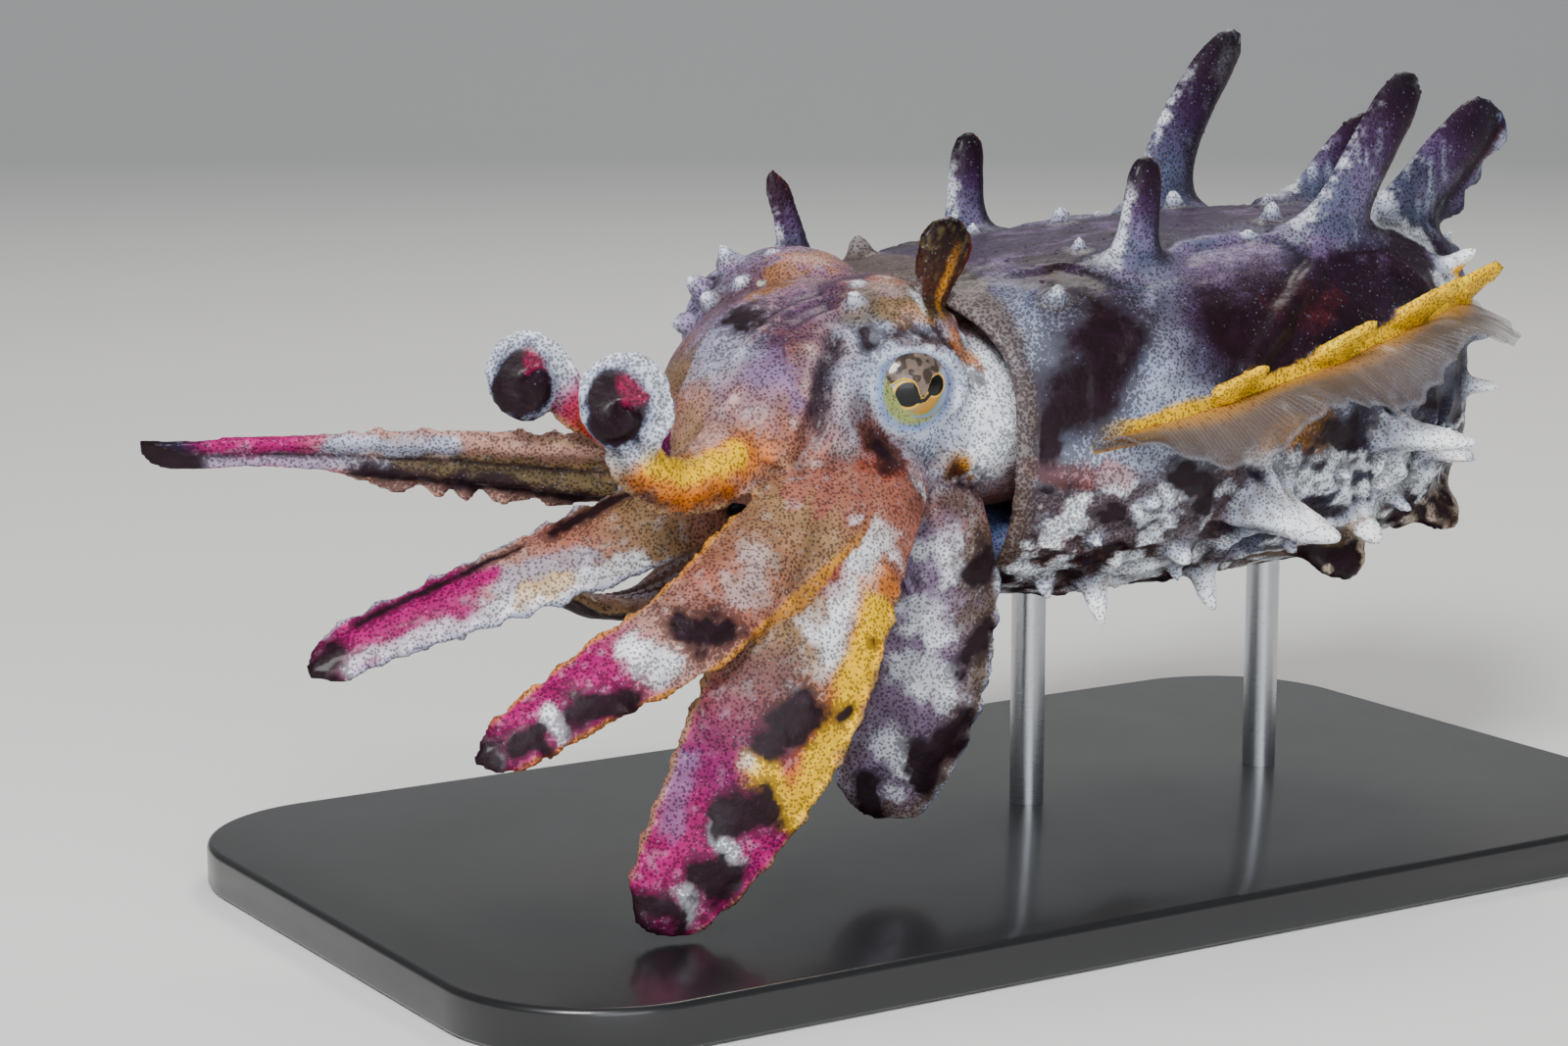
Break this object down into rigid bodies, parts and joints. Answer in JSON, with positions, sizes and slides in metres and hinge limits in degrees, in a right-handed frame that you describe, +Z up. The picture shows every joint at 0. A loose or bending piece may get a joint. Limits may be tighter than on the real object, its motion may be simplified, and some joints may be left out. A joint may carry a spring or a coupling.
{
  "type": "flamboyant cuttlefish",
  "caption": "Life-size flamboyant cuttlefish hovering on a flat stand, arms spread and curled, papillae raised, fins along the mantle.",
  "frame": {"origin": "centre of the underside of the display stand's base", "axes": "+X towards the tail and the head towards -X, the animal's left side towards -Y, +Z up"},
  "size_m": [0.1331, 0.072, 0.075],
  "materials": {
    "mantle_skin": "wet skin, semi gloss",
    "head_skin": "wet skin, semi gloss",
    "arm_skin": "wet skin, semi gloss",
    "funnel_skin": "wet skin, semi gloss",
    "fin_skin": "thin wet membrane",
    "eye": "wet gloss",
    "stand_base": "satin black",
    "stand_rod": "brushed"
  },
  "bodies": {
    "root": {"mantle": "mantle_skin", "head": "head_skin", "funnel": "funnel_skin", "eye_left": "eye", "eye_right": "eye", "fin_left": "fin_skin", "fin_right": "fin_skin", "arm_left_1_base": "arm_skin", "arm_left_1_middle": "arm_skin", "arm_left_1_curl": "arm_skin", "arm_left_2_base": "arm_skin", "arm_left_2_tip": "arm_skin", "arm_left_3_base": "arm_skin", "arm_left_3_tip": "arm_skin", "arm_left_4_base": "arm_skin", "arm_left_4_tip": "arm_skin", "arm_right_1_base": "arm_skin", "arm_right_1_middle": "arm_skin", "arm_right_1_curl": "arm_skin", "arm_right_2_base": "arm_skin", "arm_right_2_tip": "arm_skin", "arm_right_3_base": "arm_skin", "arm_right_3_tip": "arm_skin", "arm_right_4_base": "arm_skin", "arm_right_4_tip": "arm_skin", "stand_base": "stand_base", "stand_rod_front": "stand_rod", "stand_rod_rear": "stand_rod"}
  },
  "joints": []
}
